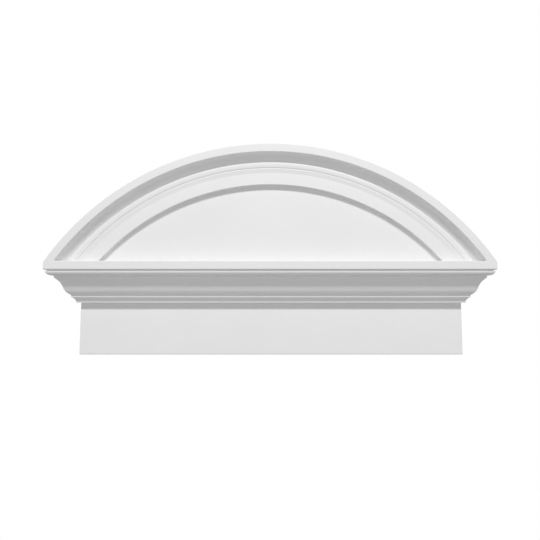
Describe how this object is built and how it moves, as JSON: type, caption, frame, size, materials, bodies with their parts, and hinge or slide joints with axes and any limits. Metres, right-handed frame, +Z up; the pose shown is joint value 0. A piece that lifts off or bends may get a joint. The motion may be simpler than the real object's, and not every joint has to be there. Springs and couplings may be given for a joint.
{
  "type": "door pediment",
  "caption": "White segmental pediment with a plain frieze, a mitred cornice with returns and an arched rim round a flat recessed tympanum, fixed flat to the wall over a door.",
  "frame": {"origin": "on the flat back, on the centre line, at the level where the frieze meets the cornice", "axes": "+X along the wall to the right as seen from the front, +Y into the wall, +Z up; the front faces -Y"},
  "size_m": [1.246, 0.098, 0.5935],
  "materials": {
    "primed_moulding": "factory-primed white skin of a moulded rigid foam, matt with a faint satin"
  },
  "bodies": {
    "root": {"pediment": "primed_moulding"}
  },
  "joints": []
}
